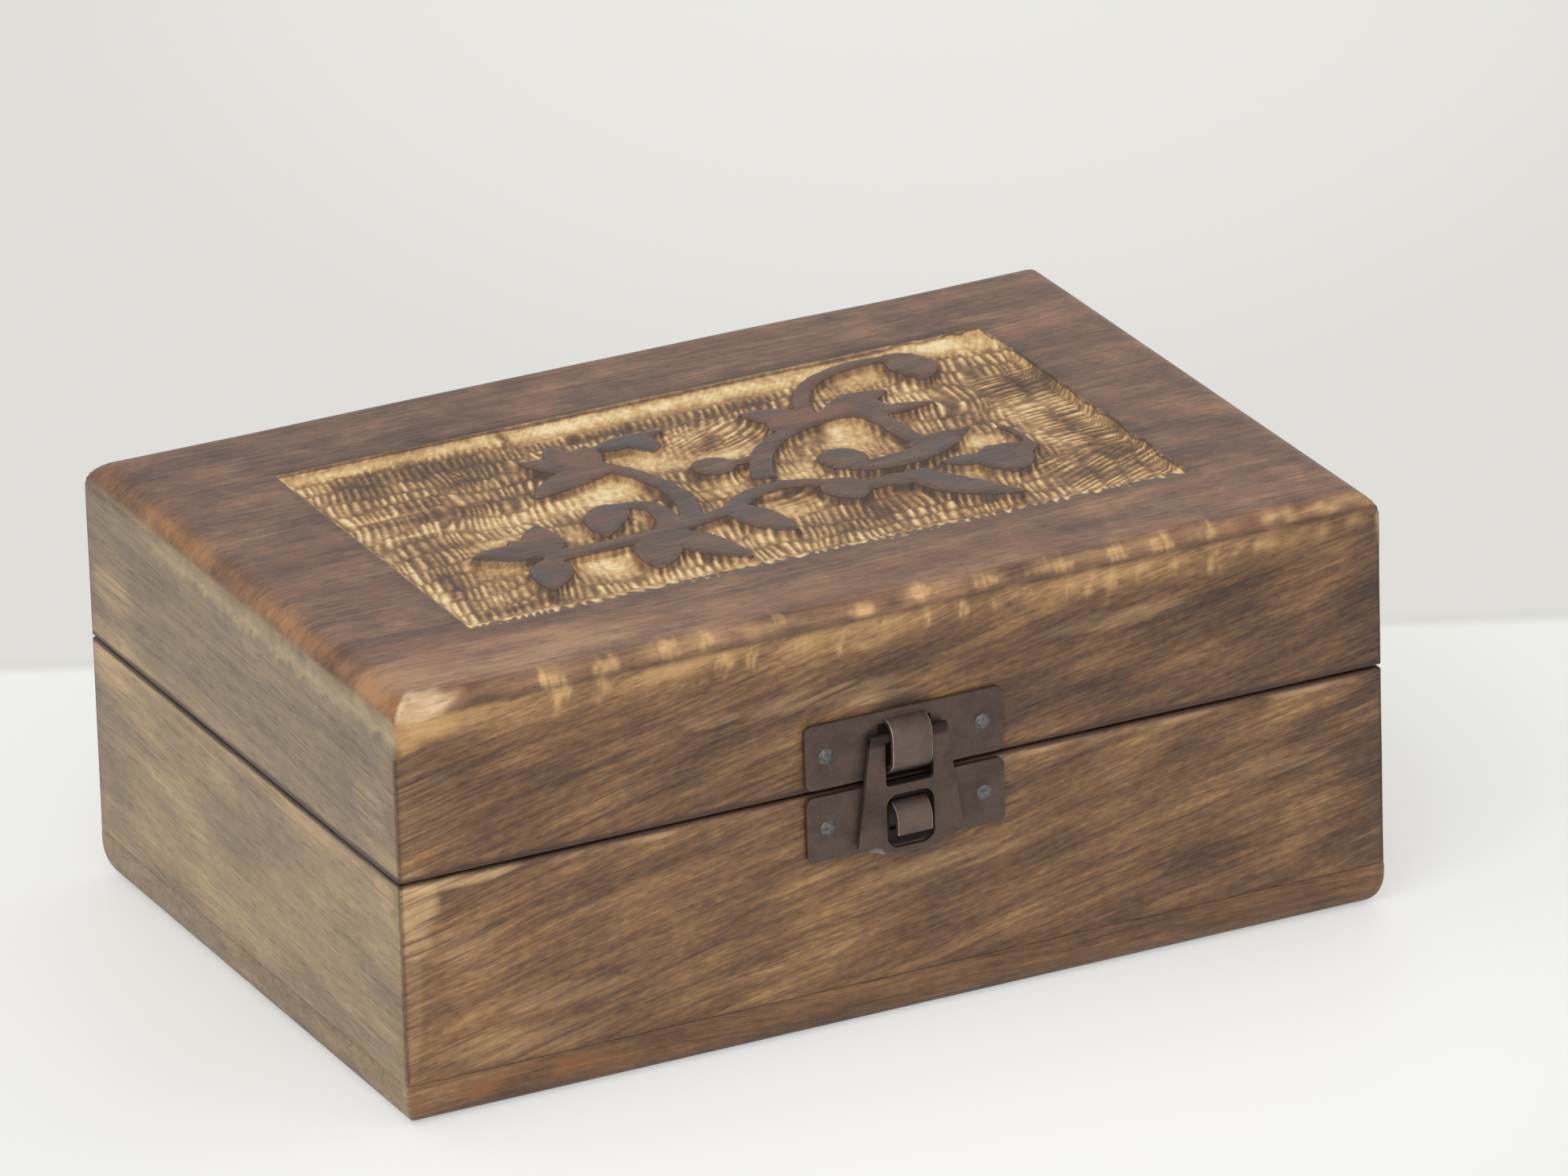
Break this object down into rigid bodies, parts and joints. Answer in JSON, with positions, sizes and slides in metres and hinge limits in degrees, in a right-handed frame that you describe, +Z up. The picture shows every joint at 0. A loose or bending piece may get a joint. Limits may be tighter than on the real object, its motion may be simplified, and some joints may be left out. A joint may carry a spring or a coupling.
{
  "type": "jewelry box",
  "caption": "Small rectangular wooden box with a hinged lid carved in low relief, closed by a swinging metal hasp over a hook.",
  "frame": {"origin": "middle of the flat face under the box, on the surface that it stands on", "axes": "+X along the front to the right, +Y from the front to the hinged back, +Z up; the hasp faces -Y"},
  "size_m": [0.152, 0.1087, 0.063],
  "materials": {
    "wall_wood": "stained and lightly waxed",
    "carved_wood": "dark stain, hand carved",
    "bronzed_steel": "bronzed, satin",
    "nail_steel": "dull grey"
  },
  "bodies": {
    "base": {"bottom_board": "wall_wood", "base_front_board": "wall_wood", "base_back_board": "wall_wood", "base_left_board": "wall_wood", "base_right_board": "wall_wood", "catch_plate": "bronzed_steel", "catch_plate_nails": "nail_steel", "hinge_left_base_leaf": "bronzed_steel", "hinge_right_base_leaf": "bronzed_steel", "base_hinge_nails": "nail_steel", "hinge_left_pin": "bronzed_steel", "hinge_right_pin": "bronzed_steel"},
    "lid": {"top_board": "carved_wood", "lid_front_rail": "wall_wood", "lid_back_rail": "wall_wood", "lid_left_rail": "wall_wood", "lid_right_rail": "wall_wood", "hasp_plate": "bronzed_steel", "hasp_plate_nails": "nail_steel", "hinge_left_lid_leaf": "bronzed_steel", "hinge_right_lid_leaf": "bronzed_steel", "lid_hinge_nails": "nail_steel"},
    "hasp": {"hasp": "bronzed_steel"}
  },
  "joints": [
    {"name": "lid_hinge", "type": "hinge", "parent": "base", "child": "lid", "pos_m": [0, 0.05253, 0.03655], "axis": [-1, 0, 0], "range_deg": [0, 180]},
    {"name": "hasp_pivot", "type": "hinge", "parent": "lid", "child": "hasp", "pos_m": [0.0008, -0.0528, 0.0431], "axis": [-1, 0, 0], "range_deg": [0, 110]}
  ]
}
